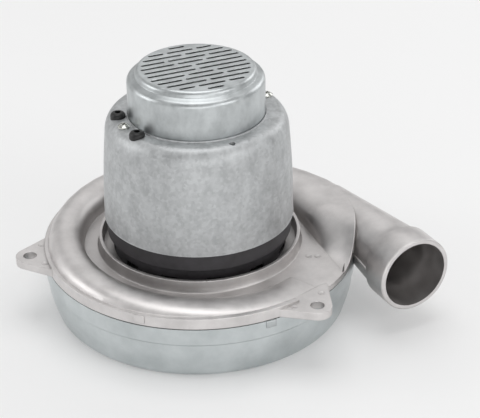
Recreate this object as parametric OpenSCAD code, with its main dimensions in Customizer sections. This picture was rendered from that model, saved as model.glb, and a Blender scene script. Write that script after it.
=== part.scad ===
// Vacuum motor unit: a drawn fan shell under a die-cast scroll with a round discharge horn,
// and a two-pole brush motor under a drawn cover with a slotted vent cap.
// Z runs up the motor axis and z = 0 is the flat face round the intake eye. Millimetres.

/* [Fan shell] */
// Outer radius of the shell at its rim
shell_r = 106.5; // [105:0.5:109]
// Height of the seam between the shell and the casting
seam_z = 41.1; // [41:0.1:44]
// Sheet thickness of the shell
shell_wall = 1.3; // [1:0.1:1.6]
// Height of the outside step that seats the diffuser
step_z = 28; // [27:0.5:29]
// How much the shell widens at the step
step_w = 0.8; // [0.4:0.1:1.2]
// How much the wall draws in from the step down to the corner
shell_draw = 5; // [3:0.5:6]
// Radius of the bottom corner
shell_corner = 6.5; // [5:0.5:8]
// Radius of the intake eye
eye_r = 38; // [34:0.5:40]
// Height of the turned-in lip round the eye
eye_lip = 4.2; // [3:0.1:4.6]
// Open gap at the seam
seam_gap = 0.6; // [0.3:0.1:0.9]

/* [Fan stages] */
// Radius of both impellers
impeller_r = 89; // [84:0.5:92]
// Thickness of an impeller's back plate
back_t = 1.2; // [1:0.1:1.5]
// Thickness of an impeller's front shroud
shroud_t = 0.9; // [0.8:0.1:1.2]
// Height of the blades at the tip
blade_h = 7.2; // [6:0.1:7.5]
// How much higher the blades are at the eye
shroud_rise = 2.2; // [1.5:0.1:2.5]
// Number of blades on an impeller
blade_n = 7; // [5:1:8]
// Blade thickness
blade_t = 1; // [0.8:0.1:1.3]
// Running gap over the upper impeller
fan_gap = 1.6; // [1.2:0.1:2]
// Running gap between an impeller and the diffuser
diffuser_gap = 1.3; // [1:0.1:1.6]
// Thickness of the diffuser's plates
diffuser_t = 1.1; // [0.9:0.1:1.3]
// Height of the diffuser's return vanes
vane_h = 6; // [5:0.1:6.4]
// Number of return vanes
vane_n = 10; // [8:1:12]
// Radius of the fan washers
washer_r = 15; // [13:0.5:17]
// Thickness of the fan washers
washer_t = 0.8; // [0.6:0.1:1]

/* [Scroll casting] */
// Thickness of the deck plate over the seam
deck_t = 3.9; // [3.5:0.1:4.5]
// Wall of the scroll and of the horn
cast_wall = 3.1; // [2.5:0.1:3.4]
// Height of the outer flange over the seam
flange_h = 7.4; // [6:0.1:8]
// Radial thickness of the outer flange
flange_t = 3.4; // [3:0.1:4]
// Depth of the spigot inside the shell
spigot_h = 4.5; // [3:0.5:5.5]
// Outer radius of the collar's rim round the motor
collar_r = 69; // [68:0.5:70]
// Wall of that collar
collar_t = 2.2; // [1.8:0.1:2.8]
// Height of the collar over the deck
collar_h = 8.4; // [7:0.1:9]
// Azimuth at which the scroll starts, the tongue
tongue_az = -42; // [-44:1:-40]
// Inner foot radius of the scroll
scroll_in_r = 79.5; // [78:0.5:81]
// Height of the scroll over the deck at its end
scroll_h = 14.5; // [13:0.1:16]
// Squareness of the scroll's section, 1 is an ellipse
scroll_square = 0.85; // [0.8:0.05:1]

/* [Horn] */
// Distance from the motor axis to the horn's axis
horn_off = 105.1; // [104:0.1:107]
// Direction in which the horn blows
horn_az = -64.2; // [-66:0.1:-62]
// Distance from the foot of the horn's axis to its mouth
horn_len = 109.3; // [107:0.1:112]
// Height of the horn's axis over the seam
horn_up = 2.9; // [2:0.1:3.5]
// Outer radius of the end collar, where a hose is clamped
horn_r = 26.2; // [25.8:0.1:26.6]
// Length of the end collar
horn_collar = 21; // [18:1:24]
// Step from the end collar down to the pipe
horn_step = 1.8; // [1.4:0.1:2.2]
// Growth of the pipe's radius per millimetre of length
horn_taper = 0.109; // [0.1:0.001:0.115]
// Where the flat deck beside the horn ends, seen from the motor axis
deck_edge_u = 73.8; // [73:0.1:75]
// Slope of that edge against the horn's axis
deck_edge_slope = 0.119; // [0.11:0.001:0.125]

/* [Ears] */
// Radius of the circle of the mounting holes
ear_circle_r = 116.8; // [115:0.1:119]
// Azimuth of the first mounting ear
ear_az = -50.6; // [-52:0.1:-49]
// Radius of a mounting hole
ear_hole_r = 4.6; // [3.5:0.1:5]
// Radius of an ear's tip
ear_tip_r = 9.6; // [8.5:0.1:10.5]
// Height of the ears over the seam
ear_t = 5.5; // [4.5:0.1:6.5]

/* [Motor cover] */
// Outer radius of the cover at its rim
cover_r = 64.2; // [63.5:0.1:65]
// Height of the cover's rim
cover_z = 69.2; // [68:0.1:70]
// Height of the cover's shoulder
shoulder_z = 143; // [141.5:0.5:144]
// Sheet thickness of the cover
cover_wall = 1; // [0.8:0.1:1.1]
// How much the cover narrows from the rim to the corner
cover_draw = 2.9; // [2.5:0.1:3.2]
// Width of the shoulder's round corner
cover_corner = 8.3; // [7.5:0.1:8.8]
// Height of that corner
cover_corner_h = 12; // [10:0.5:13]
// Radius of the circle of the screws and the lead grommets
screw_circle_r = 52; // [51.5:0.1:52.5]
// Azimuth of the first screw
screw_az = -155.6; // [-157:0.1:-154]
// Angle from that screw to each lead grommet
grommet_step = 17.8; // [16:0.1:20]
// Radius of the grommets' domes
grommet_r = 5.1; // [4.8:0.1:5.4]
// Radius of the wire hole in a grommet
grommet_hole_r = 2; // [1.5:0.1:2.4]
// Radius of the small plain hole over the front brush
peep_r = 2; // [1.5:0.1:2.5]
// Distance of that hole from the axis
peep_circle_r = 53.3; // [52.5:0.1:54]

/* [Vent cap] */
// Outer radius of the cap's wall
cap_r = 45.4; // [44.5:0.1:46]
// Height of the cap's top face
cap_z = 174.8; // [173:0.1:176]
// Sheet thickness of the cap
cap_wall = 1; // [0.8:0.1:1.1]
// Radius of the round shoulder at the top of the wall
cap_shoulder = 4; // [3.5:0.1:4.5]
// Height of the slotted plateau over that shoulder
plateau_h = 5; // [4.6:0.1:5.4]
// Radius of the plateau
plateau_r = 39.8; // [39:0.1:40]
// Radius of the plateau's edge
plateau_edge = 3; // [2.5:0.1:3.2]
// Pitch of the slot rows
slot_pitch = 6.2; // [6:0.1:6.3]
// Width of a slot
slot_w = 2.6; // [2:0.1:3]
// Direction of the slot rows
slot_az = 21.6; // [18:0.1:25]
// Clear web between two slots of a row
slot_web = 2.5; // [2:0.1:3]

/* [Baffle ring] */
// Height of the baffle's step under the cover
baffle_step_z = 57.8; // [57:0.1:59]
// Outer radius of the baffle's lower band
baffle_low_r = 59.2; // [58.8:0.1:59.5]
// Wall of the baffle
baffle_wall = 1.6; // [1.3:0.1:1.8]
// Number of exhaust windows in the lower band
window_n = 12; // [10:1:14]

/* [Motor] */
// Height of the bottom of the field stack
stack_z = 74; // [73:0.5:76]
// Height of the field stack
stack_h = 34; // [30:0.5:36]
// Outer radius of the field stack
stack_r = 58; // [57:0.1:58.5]
// Half width across the field stack's flats
stack_flat = 52; // [50:0.5:54]
// Radius of the armature
armature_r = 26.5; // [25:0.1:27]
// Air gap between the armature and the field
air_gap = 0.8; // [0.6:0.1:1]
// Number of armature slots
slot_n = 12; // [10:1:14]
// Radius of the commutator
commutator_r = 17; // [16:0.1:18]
// Length of the commutator
commutator_h = 15; // [14:0.5:16]
// Number of commutator bars
bar_n = 24; // [20:1:28]
// Width of a brush
brush_w = 6.3; // [5:0.1:7]
// Height of a brush
brush_h = 11; // [9:0.1:12]
// Length of a brush
brush_len = 22; // [18:0.5:24]
// Radius of the brush spring's coil
brush_spring_r = 2.4; // [2:0.1:2.6]
// Radius of the brush spring's wire
brush_wire_r = 0.35; // [0.3:0.05:0.4]
// Number of curls in a brush spring
brush_curls = 9; // [7:1:10]
// Width of a brush terminal
terminal_w = 6.3; // [4.8:0.1:6.6]
// Height of a brush terminal
terminal_h = 16; // [14:0.5:17]
// Thickness of a brush terminal
terminal_t = 0.8; // [0.6:0.1:1]
// Radius of the two long motor screws
bolt_r = 2.4; // [2:0.1:2.6]
// Radius of their heads
bolt_head_r = 3.95; // [3.6:0.05:4.2]
// Thickness of their heads
bolt_head_t = 2.2; // [2:0.1:2.6]

/* [Shaft and bearings] */
// Radius of the shaft under the impellers
fan_seat_r = 6; // [5.5:0.1:6.5]
// Radius of the shaft in the lower bearing
lower_seat_r = 8.5; // [8:0.1:9]
// Radius of the shaft in the armature
core_seat_r = 9.6; // [9.3:0.1:10]
// Radius of the shaft in the upper bearing
upper_seat_r = 5; // [4.5:0.1:5.5]
// Outer radius of the lower bearing
lower_bearing_r = 20; // [19.5:0.1:20.5]
// Width of the lower bearing
lower_bearing_w = 12; // [11:0.5:12.5]
// Radius of the lower bearing's balls
lower_ball_r = 3.3; // [3:0.05:3.4]
// Outer radius of the upper bearing
upper_bearing_r = 15; // [14.5:0.1:15.5]
// Width of the upper bearing
upper_bearing_w = 9; // [8.5:0.1:9.5]
// Radius of the upper bearing's balls
upper_ball_r = 2.6; // [2.3:0.05:2.7]
// Number of balls in each bearing
ball_n = 8; // [7:1:8]
// Outer radius of the shaft seal
seal_r = 14; // [13:0.1:15]
// Radius of the cooling fan
vent_fan_r = 39; // [37:0.5:40]
// Height of the cooling fan's blades
vent_blade_h = 11; // [9:0.5:12]
// Number of the cooling fan's blades
vent_blade_n = 9; // [7:1:11]

/* [Hidden] */

// Clearance of pieces pressed or clamped together
press = 0.02;
// Clearance of pieces that slide or turn on each other
run = 0.08;
// Clearance of pieces on different bodies that must not touch
clear = 0.3;
// Overlap of solids that are one piece, and of cutters past a face
lap = 0.4;
$fn = 96;

// Levels of the casting
deck_z = seam_z + deck_t;
flange_z = seam_z + flange_h;
spigot_r = shell_r - shell_wall - run;
// Levels of the fan stages, from the seam down
upper_back_z = seam_z - fan_gap - back_t;
upper_shroud_z = upper_back_z - blade_h - shroud_t;
diffuser_top_z = upper_shroud_z - shroud_rise - diffuser_gap;
diffuser_low_z = diffuser_top_z - 2 * diffuser_t - vane_h;
lower_back_z = diffuser_low_z - diffuser_gap - back_t;
impeller_eye_r = eye_r + shell_wall + 1.5;
// Levels along the shaft
lower_bearing_z = deck_z + 3;
lower_bearing_top = lower_bearing_z + lower_bearing_w;
winding_h = 9;
commutator_z = stack_z + stack_h + winding_h + 3;
upper_bearing_z = commutator_z + commutator_h + 3;
upper_bearing_top = upper_bearing_z + upper_bearing_w;
fan_hub_z = upper_bearing_top + 3;
nut_h = 5.5;
spacer_r = fan_seat_r + 3;
// Pitch circles and levels of the bearings' balls, and the gap in their grooves
lower_pitch_r = (lower_seat_r + lower_bearing_r) / 2;
upper_pitch_r = (upper_seat_r + upper_bearing_r) / 2;
lower_ball_z = lower_bearing_z + lower_bearing_w / 2;
upper_ball_z = upper_bearing_z + upper_bearing_w / 2;
groove_gap = 0.05;
shaft_low_z = lower_back_z - washer_t - nut_h - 1.5;
vent_plate_t = 1.4;
vent_hub_h = vent_blade_h + vent_plate_t;
vent_nut_h = 4;
shaft_top_z = fan_hub_z + vent_hub_h + vent_nut_h + 1;
// Levels of the upper bracket and the brushes
bracket_top_z = shoulder_z - cover_wall - cap_wall;
bracket_t = 4;
boss_wall = 4;
grommet_neck_r = grommet_r - 1.2;
washer_spring_t = 0.6;
holder_wall = 1.4;
brush_az = screw_az + 90;
brush_z = commutator_z + commutator_h / 2;
brush_tip_r = commutator_r + 0.15;
brush_end_r = brush_tip_r + brush_len;
holder_in_r = commutator_r + 3.5;
holder_out_r = 54;
holder_w = brush_w + 2 * run + 2 * holder_wall;
holder_h = brush_h + 2 * run + 2 * holder_wall;
spring_end_r = holder_out_r - holder_wall;
// How far a terminal hangs below the middle of its brush
terminal_drop = 9;
// Radius of the bore of the field and the depth of its shoes
field_bore_r = armature_r + air_gap;
shoe_t = 5.5;
field_window_r = stack_flat - 7.5;
neck_w = 32;
shoe_half = 62;
open_slope = tan(90 - shoe_half);
bolt_hole_r = bolt_r + 0.25;
pillar_r = 5;
// Pipe radius of the horn where its end collar starts
horn_pipe_r = horn_r - horn_step;
horn_z = seam_z + horn_up;
// Where the cover's round corner starts, and the flat of its shoulder ends
corner_z = shoulder_z - cover_corner_h;
shoulder_flat_r = cover_r - cover_draw - cover_corner;

// Points of an elliptic arc and of a round one
function bend(c, w, h, a0, a1, n = 8) = [for (i = [0:n]) let (a = a0 + (a1 - a0) * i / n)
    c + [w * cos(a), h * sin(a)]];
function arc(c, r, a0, a1, n = 8) = bend(c, r, r, a0, a1, n);
function pipe_r(s) = horn_pipe_r + horn_taper * (s + horn_collar);
function shell_out(z) = shell_r - step_w - shell_draw * pow(max(step_z - z, 0) / (step_z - 4.5), 2);
function cover_out(z) = cover_r - cover_draw * pow((z - cover_z) / (corner_z - cover_z), 2);

// Drawn steel cup of the fan end
module fan_shell() {
    corner_r = shell_out(shell_corner) - shell_corner;
    levels = [for (i = [0:6]) shell_corner + (step_z - shell_corner) * i / 6];
    outer = concat(
        [[eye_r, 0]],
        arc([corner_r, shell_corner], shell_corner, -90, 0),
        [for (z = levels) [shell_out(z), z]],
        [[shell_r, step_z + 1], [shell_r, seam_z - seam_gap]]);
    inner = concat(
        [[shell_r - shell_wall, seam_z - seam_gap], [shell_r - shell_wall, step_z + 1 + shell_wall / 2]],
        [for (i = [6:-1:0]) [shell_out(levels[i]) - shell_wall, levels[i]]],
        arc([corner_r, shell_corner], shell_corner - shell_wall, 0, -90),
        arc([eye_r + shell_wall + 1, shell_wall + 1], 1, 270, 180, 4),
        [[eye_r + shell_wall, eye_lip], [eye_r, eye_lip]]);
    color("#A9AFB0") rotate_extrude($fn = 180) polygon(concat(outer, inner));
}

// Height of the scroll over the deck, and its inner and outer foot, by the angle from the tongue
function flow(az) = (tongue_az - az + 720) % 360;
flow_end = flow(horn_az + 90);
function ridge_h(f) = lookup(f, [[0, 1], [50, 6.8], [140, scroll_h - 1], [190, scroll_h],
    [flow_end, scroll_h]]);
function ridge_in(f) = lookup(f, [[0, scroll_in_r], [190, scroll_in_r], [240, scroll_in_r - 3],
    [flow_end, deck_edge_u]]);
function ridge_out(f) = lookup(f, [[0, shell_r - flange_t + 1.2], [150, shell_r - flange_t + 1.2],
    [200, shell_r + 2], [258, shell_r + 2.5], [flow_end, horn_off + pipe_r(-horn_len) - lap]]);

// One section across the scroll, from point o along direction az: inner foot a, outer foot b,
// and a crown that rises by up over the deck, closed by a flat floor at the level base
function section(o, az, a, b, up, base, n) = concat(
    [o + a * [cos(az), sin(az), 0] + [0, 0, base]],
    [for (i = [0:n]) let (
        w = 180 * i / n,
        t = -sign(cos(w)) * pow(abs(cos(w)), scroll_square),
        r = (a + b) / 2 + t * (b - a) / 2)
        o + r * [cos(az), sin(az), 0] + [0, 0, deck_z + up * pow(abs(sin(w)), scroll_square)]],
    [o + b * [cos(az), sin(az), 0] + [0, 0, base]]);
function mix(a, b, k) = a + (b - a) * k;

// Sections round the motor from angle f0, drawn in by a wall
function round_sections(f0, turns, wall, base, n) = [for (i = [0:turns - 1])
    let (f = f0 + (flow_end - f0) * i / turns)
    section([0, 0, 0], tongue_az - f, ridge_in(f) + wall, ridge_out(f) - wall, ridge_h(f) - wall, base, n)];

// Place of a section of the straight run, which starts at the foot of the horn's axis
function along_horn(s) = (s + horn_len) * [cos(horn_az), sin(horn_az), 0];

// Outer skin of the straight run: it keeps its foot on the edge of the flat deck
function skin_sections(base, n) = [for (s = [-horn_len:14:-horn_collar - 4])
    section(along_horn(s), horn_az + 90, deck_edge_u - deck_edge_slope * (s + horn_len),
        horn_off + pipe_r(s) - lap, horn_z + pipe_r(s) - deck_z - lap, base, n)];

// One section of the duct: the scroll's section over a narrower throat that drops by depth
// below the floor, listed from the inner corner between the floor and the throat
function duct_section(o, az, a, b, up, depth, n) = let (
    skin = section(o, az, a, b, up, deck_z - 0.2, n),
    side = [cos(az), sin(az), 0],
    in_r = a + 2,
    out_r = min(b - 1, shell_r - shell_wall - 8))
    concat(
        [o + in_r * side + [0, 0, deck_z - 0.3]], skin, [o + out_r * side + [0, 0, deck_z - 0.3]],
        [o + out_r * side + [0, 0, deck_z - 0.3 - depth]], [o + in_r * side + [0, 0, deck_z - 0.3 - depth]]);

// Duct round the motor from angle f0, open below over the tips of the upper impeller
function round_duct(f0, turns, n) = [for (i = [0:turns - 1]) let (f = f0 + (flow_end - f0) * i / turns)
    duct_section([0, 0, 0], tongue_az - f, ridge_in(f) + cast_wall, ridge_out(f) - cast_wall,
        ridge_h(f) - cast_wall, deck_t + 0.5, n)];

// Duct of the straight run: a funnel that ends inside the bore of the pipe
function funnel_duct(n) = [for (k = [0:0.25:1])
    duct_section(along_horn(-horn_len * (1 - 0.62 * k)), horn_az + 90,
        mix(deck_edge_u + cast_wall, horn_off - 6, k),
        horn_off + mix(pipe_r(-horn_len) - cast_wall - lap, 6, k),
        mix(scroll_h - cast_wall, 8, k), k > 0 ? 0.3 : deck_t + 0.5, n)];

// A closed tube of triangles through rings of points
module loft(rings) {
    n = len(rings[0]);
    m = len(rings);
    sides = [for (j = [0:m - 2]) for (i = [0:n - 1]) let (k = (i + 1) % n)
        each [[j * n + i, j * n + k, (j + 1) * n + k], [j * n + i, (j + 1) * n + k, (j + 1) * n + i]]];
    caps = [for (i = [1:n - 2]) each [[0, i + 1, i], [(m - 1) * n, (m - 1) * n + i, (m - 1) * n + i + 1]]];
    polyhedron([for (ring = rings) each ring], concat(sides, caps));
}

// Turns a solid that is drawn along Z so that it lies along the horn, with its mouth at z = 0
module on_horn() {
    rotate(horn_az + 90) translate([horn_off, 0, horn_z]) rotate([90, 0, 0]) translate([0, 0, horn_len])
        children();
}

module horn_outside() {
    start = -horn_len;
    on_horn() rotate_extrude() polygon(concat(
        [[0, start - pipe_r(start) * 0.9]],
        [for (a = [20:20:80]) [pipe_r(start) * sin(a), start - pipe_r(start) * 0.9 * cos(a)]],
        [[pipe_r(start), start], [pipe_r(-horn_collar - 2), -horn_collar - 2], [horn_r, -horn_collar + 1],
            [horn_r, -0.8], [horn_r - 0.8, 0], [0, 0]]));
}

// Round bore of the horn, kept clear of the fan shell's wall
module horn_bore() {
    start = -0.73 * horn_len;
    difference() {
        on_horn() rotate_extrude() polygon([[0, start], [pipe_r(start) - cast_wall, start],
            [horn_pipe_r - cast_wall, -horn_collar], [horn_r - cast_wall, -horn_collar + 3],
            [horn_r - cast_wall, lap], [0, lap]]);
        translate([0, 0, -lap]) cylinder(r = shell_r + cast_wall, h = deck_z + lap);
    }
}

// Flat mounting ear, its flanks tangent to the tip and met by the flange
module ear(az) {
    root_az = 13;
    root = (shell_r - 2) * [cos(root_az), sin(root_az)];
    away = [ear_circle_r, 0] - root;
    lean = atan2(away[1], away[0]) + asin(ear_tip_r / norm(away));
    touch = [ear_circle_r, 0] + ear_tip_r * [-sin(lean), cos(lean)];
    translate([0, 0, seam_z]) linear_extrude(ear_t) rotate(az) {
        translate([ear_circle_r, 0]) circle(r = ear_tip_r, $fn = 48);
        polygon([[shell_r - 6, 5 - root[1]], [root[0], -root[1]], [touch[0], -touch[1]],
            touch, root, [shell_r - 6, root[1] - 5]]);
    }
}

// Aluminium casting: deck, flange, collar, bearing boss, scroll, horn and ears
module scroll_casting() {
    color("#B5B2B0") difference() {
        casting_blank();
        scroll_duct();
    }
}

// The casting with its round bores, before the scroll's duct
module casting_blank() {
    difference() {
        union() {
            rotate_extrude($fn = 180) polygon([
                [seal_r + press, seam_z], [spigot_r - 2.5, seam_z], [spigot_r - 2.5, seam_z - spigot_h],
                [spigot_r, seam_z - spigot_h], [spigot_r, seam_z], [shell_r, seam_z], [shell_r, deck_z],
                [collar_r + 1.3, deck_z], [collar_r + 0.6, deck_z + 1], [collar_r, deck_z + collar_h],
                [collar_r - collar_t, deck_z + collar_h], [collar_r - collar_t - 0.8, deck_z],
                [lower_bearing_r + boss_wall + 1, deck_z], [lower_bearing_r + boss_wall, lower_bearing_top],
                [lower_bearing_r + press, lower_bearing_top], [lower_bearing_r + press, lower_bearing_z],
                [seal_r + 1.5, lower_bearing_z], [seal_r + 1.5, deck_z], [seal_r + press, deck_z]]);
            outer_flange();
            difference() {
                loft(concat(round_sections(0, 34, 0, seam_z + 0.8, 10), skin_sections(seam_z + 0.8, 10)));
                horn_front();
            }
            difference() {
                horn_outside();
                translate([0, 0, -lap]) cylinder(r = shell_r + clear, h = seam_z + lap, $fn = 180);
            }
            for (i = [0:2]) ear(ear_az + 120 * i);
            motor_pillars(deck_z - lap, stack_z);
        }
        horn_bore();
        for (i = [0:2]) rotate(ear_az + 120 * i) translate([ear_circle_r, 0, seam_z - lap])
            cylinder(r = ear_hole_r, h = scroll_h, $fn = 48);
        motor_bores(deck_z - 2, stack_z + lap, bolt_r + press);
    }
}

// The air's way under the scroll and into the horn
module scroll_duct() {
    loft(concat(round_duct(32, 26, 6), funnel_duct(6)));
}

// Raised rim of the casting, left out along the flat deck beside the horn
module outer_flange() {
    difference() {
        translate([0, 0, deck_z - lap]) difference() {
            cylinder(r = shell_r, h = flange_z - deck_z + lap, $fn = 180);
            translate([0, 0, -lap]) cylinder(r = shell_r - flange_t, h = flange_h, $fn = 180);
        }
        translate([0, 0, deck_z]) linear_extrude(flange_h) polygon([[20, -12],
            2 * shell_r * [cos(-20), sin(-20)], 2 * shell_r * [cos(ear_az), sin(ear_az)], [20, -40]]);
    }
}

// Space in front of the rim that only the horn's pipe crosses
module horn_front() {
    difference() {
        rotate(horn_az + 90) translate([40, -horn_len, 0]) cube([horn_off - 40, horn_len - 12, 100]);
        translate([0, 0, -lap]) cylinder(r = shell_r, h = 101, $fn = 180);
    }
}

// The two screw lines of the motor
module at_screws() {
    for (a = [0, 180]) rotate(screw_az + a) translate([screw_circle_r, 0, 0]) children();
}

module motor_pillars(z0, z1) {
    at_screws() translate([0, 0, z0]) cylinder(r = pillar_r, h = z1 - z0, $fn = 48);
}

module motor_bores(z0, z1, r) {
    at_screws() translate([0, 0, z0]) cylinder(r = r, h = z1 - z0, $fn = 32);
}

// Black moulded ring between the casting and the cover
module baffle_ring() {
    top_r = cover_r - cover_wall - clear;
    window_z = deck_z + 1;
    window_h = 3.6;
    window_w = 12;
    color("#39373A") difference() {
        rotate_extrude($fn = 180) polygon([
            [baffle_low_r - baffle_wall, deck_z], [baffle_low_r, deck_z], [baffle_low_r, baffle_step_z],
            [top_r, baffle_step_z], [top_r, cover_z + 4], [top_r - baffle_wall, cover_z + 4],
            [top_r - baffle_wall, baffle_step_z + baffle_wall],
            [baffle_low_r - baffle_wall, baffle_step_z + baffle_wall]]);
        for (i = [0:window_n - 1]) rotate(screw_az + 360 * (i + 0.5) / window_n)
            translate([baffle_low_r - 5, -window_w / 2, window_z]) cube([8, window_w, window_h]);
    }
}

// Outer line of the cover from its rim up to the shoulder, drawn in by a wall
function cover_line(w) = concat(
    [for (i = [0:8]) let (z = cover_z + (corner_z - cover_z) * i / 8) [cover_out(z) - w, z]],
    bend([shoulder_flat_r, corner_z], cover_corner - w, cover_corner_h - w, 10, 90));

// Drawn steel motor cover with its flared wall and rounded shoulder
module motor_cover() {
    lip_r = cap_r + clear;
    lip_h = 0.7;
    inner = cover_line(cover_wall);
    color("#B4B6B5") difference() {
        rotate_extrude($fn = 180) polygon(concat(
            cover_line(0),
            [[lip_r + cover_wall, shoulder_z], [lip_r + 0.8, shoulder_z + lip_h]],
            [[lip_r + 0.2, shoulder_z + lip_h], [lip_r, shoulder_z + 0.3], [lip_r, shoulder_z - cover_wall]],
            [for (i = [len(inner) - 1:-1:0]) inner[i]]));
        motor_bores(shoulder_z - 8, shoulder_z + 5, bolt_hole_r);
        at_grommets(shoulder_z - 8) cylinder(r = grommet_neck_r, h = 16, $fn = 48);
        rotate(brush_az) translate([peep_circle_r, 0, shoulder_z - 8]) cylinder(r = peep_r, h = 16, $fn = 48);
    }
}

// The two lead grommets' places, one on each side of the first screw
module at_grommets(z) {
    for (s = [-1, 1]) rotate(screw_az + s * grommet_step) translate([screw_circle_r, 0, z]) children();
}

// Outer line of the vent cap from the flange to the middle, drawn in by a wall
function cap_line(w) = let (
    shoulder_c = [cap_r - cap_shoulder, cap_z - plateau_h - cap_shoulder],
    edge_c = [plateau_r - plateau_edge, cap_z - plateau_edge])
    concat(
        [[shoulder_flat_r - press, bracket_top_z + cap_wall - w],
            [cap_r + 0.1 - w, bracket_top_z + cap_wall - w]],
        arc(shoulder_c, cap_shoulder - w, 0, 80),
        [[plateau_r + 0.3 - w * 0.6, cap_z - plateau_h + 0.9 - w]],
        arc(edge_c, plateau_edge - w, 10, 90),
        [[0, cap_z - w]]);

// One slot with round ends from x0 to x1
module slot(x0, x1, y) {
    for (x = [x0 + slot_w / 2, x1 - slot_w / 2]) translate([x, y]) circle(r = slot_w / 2, $fn = 24);
    translate([x0 + slot_w / 2, y - slot_w / 2]) square([x1 - x0 - slot_w, slot_w]);
}

// Slot grille: a row has a slot across its middle, of half the length in mid, or else a web there
module grille() {
    reach = plateau_r - plateau_edge - 1;
    slot_reach = 34.6;
    rotate(slot_az) for (row = [0:5]) for (side = [-1, 1]) {
        y = side * slot_pitch * (row + 0.5);
        half = min(sqrt(reach * reach - y * y), slot_reach);
        mid = [0, 8.8, 13.1, 0, 9.2, 5.6][row];
        if (mid > 0) slot(-mid, mid, y);
        if (row < 5) for (s = [0, 1]) mirror([s, 0]) slot(mid > 0 ? mid + slot_web : slot_web / 2, half, y);
    }
}

// Drawn steel vent cap with its flange under the cover and its slotted plateau
module vent_cap() {
    inner = cap_line(cap_wall);
    color("#C4C6C4") difference() {
        rotate_extrude($fn = 180) polygon(concat(cap_line(0), [for (i = [len(inner) - 1:-1:0]) inner[i]]));
        translate([0, 0, cap_z - 3]) linear_extrude(4) grille();
        motor_bores(bracket_top_z - lap, shoulder_z, bolt_hole_r);
        at_grommets(bracket_top_z - lap) cylinder(r = grommet_neck_r + clear, h = 4, $fn = 48);
        rotate(brush_az) translate([peep_circle_r, 0, bracket_top_z - lap])
            cylinder(r = peep_r, h = 4, $fn = 48);
    }
}

// The two long screws that clamp cover, cap, bracket and field to the casting
module motor_screws() {
    color("#C9CBC8") at_screws() difference() {
        union() {
            translate([0, 0, deck_z - 1]) cylinder(r = bolt_r, h = shoulder_z - deck_z + 1 + lap, $fn = 32);
            translate([0, 0, shoulder_z]) cylinder(r = bolt_head_r, h = bolt_head_t * 0.4, $fn = 48);
            translate([0, 0, shoulder_z + bolt_head_t * 0.4])
                cylinder(r1 = bolt_head_r, r2 = bolt_head_r * 0.55, h = bolt_head_t * 0.6, $fn = 48);
        }
        for (a = [45, 135]) rotate(a) translate([-2.1, -0.45, shoulder_z + bolt_head_t - 1.2])
            cube([4.2, 0.9, 2]);
    }
}

// Rubber grommets of the two leads: a neck through the cover, and a dome cut to its shoulder
module lead_grommets() {
    dome_z = shoulder_z + 0.6;
    dome_h = 2.8;
    dome_w = grommet_r - grommet_hole_r - 0.4;
    skirt = 2.6;
    neck_h = 5;
    outside = cover_line(-press);
    color("#2A2A2B") difference() {
        union() {
            difference() {
                at_grommets(0) rotate_extrude($fn = 48) polygon(concat(
                    [[0, dome_z - skirt], [grommet_r, dome_z - skirt], [grommet_r, dome_z]],
                    [for (a = [15:15:75]) [grommet_r - dome_w * (1 - cos(a)), dome_z + dome_h * sin(a)]],
                    [[grommet_hole_r, dome_z + dome_h], [0, dome_z + dome_h]]));
                rotate_extrude($fn = 180) polygon(concat([[0, cover_z]], outside, [[0, shoulder_z + press]]));
            }
            at_grommets(shoulder_z - neck_h + 1) cylinder(r = grommet_neck_r - press, h = neck_h, $fn = 48);
        }
        at_grommets(shoulder_z - neck_h) cylinder(r = grommet_hole_r, h = 2 * neck_h, $fn = 32);
    }
}

// Curved blade standing on the plan: an arc of sheet from radius r0 to r1
module blade_plan(r0, r1, t, sweep) {
    steps = 8;
    mid = [for (i = [0:steps]) let (k = i / steps, r = r0 + (r1 - r0) * k, a = sweep * k * k)
        r * [cos(a), sin(a)]];
    side = [for (i = [0:steps]) let (d = mid[min(i + 1, steps)] - mid[max(i - 1, 0)])
        t / 2 * [-d[1], d[0]] / norm(d)];
    polygon(concat(mid + side, [for (i = [steps:-1:0]) mid[i] - side[i]]));
}

// Sheet impeller: flat back plate on top, curved blades and a coned front shroud with the eye
module impeller(back_z) {
    tip_z = back_z - blade_h;
    eye_z = tip_z - shroud_rise;
    color("#B9BCBD") {
        difference() {
            union() {
                translate([0, 0, back_z]) cylinder(r = impeller_r, h = back_t);
                intersection() {
                    translate([0, 0, eye_z - 2]) linear_extrude(back_z - eye_z + 2 + lap)
                        for (i = [0:blade_n - 1]) rotate(360 * i / blade_n)
                            blade_plan(impeller_eye_r - 4, impeller_r - 0.5, blade_t, -48);
                    rotate_extrude() polygon([[impeller_eye_r - 6, eye_z], [impeller_eye_r, eye_z],
                        [impeller_r, tip_z], [impeller_r, back_z + lap], [impeller_eye_r - 6, back_z + lap]]);
                }
                rotate_extrude() polygon([[impeller_eye_r, eye_z], [impeller_r, tip_z],
                    [impeller_r, tip_z - shroud_t], [impeller_eye_r, eye_z - shroud_t]]);
            }
            translate([0, 0, back_z - lap]) cylinder(r = fan_seat_r + press, h = back_t + 2 * lap, $fn = 48);
        }
    }
}

module lower_impeller() {
    impeller(lower_back_z);
}

module upper_impeller() {
    impeller(upper_back_z);
}

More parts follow.
